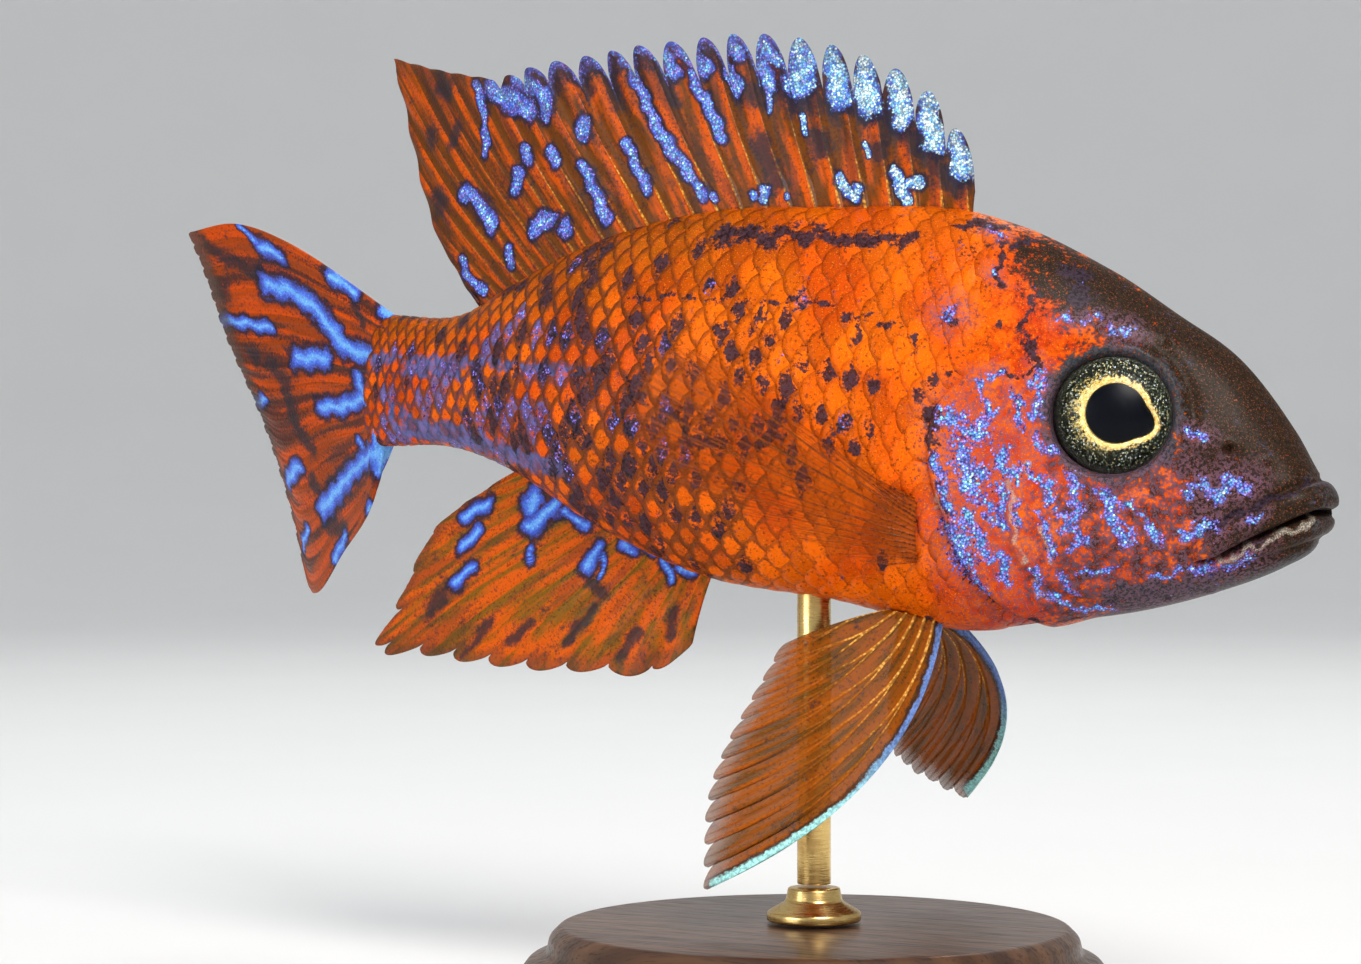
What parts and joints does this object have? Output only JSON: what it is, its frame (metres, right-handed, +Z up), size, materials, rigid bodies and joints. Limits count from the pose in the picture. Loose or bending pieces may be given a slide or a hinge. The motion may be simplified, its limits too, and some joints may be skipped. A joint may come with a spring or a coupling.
{
  "type": "peacock cichlid on display stand",
  "caption": "Life-size model of a male orange-blotch peacock cichlid, swimming with spread fins, held by one rod on a round turned base.",
  "frame": {"origin": "centre of the underside of the stand's round base", "axes": "+X towards the fish's head along its length, +Y to the fish's left, +Z up"},
  "size_m": [0.1201, 0.052, 0.0878],
  "materials": {
    "skin": "satin, scaled, orange with slate blotches",
    "fin": "thin rayed membrane, orange with blue spots",
    "eye": "glossy, gold ring round a dark pupil",
    "stand_wood": "satin varnish on dark turned wood",
    "stand_metal": "polished"
  },
  "bodies": {
    "root": {"head": "skin", "upper_jaw": "skin", "lower_jaw": "skin", "gill_cover_right": "skin", "gill_cover_left": "skin", "trunk": "skin", "tail_stalk": "skin", "dorsal_fin": "fin", "anal_fin": "fin", "tail_fin": "fin", "pelvic_fin_right": "fin", "pelvic_fin_left": "fin", "pectoral_fin_right": "fin", "pectoral_fin_left": "fin", "eye_right": "eye", "eye_left": "eye", "stand_base": "stand_wood", "stand_collar": "stand_metal", "stand_rod": "stand_metal"}
  },
  "joints": []
}
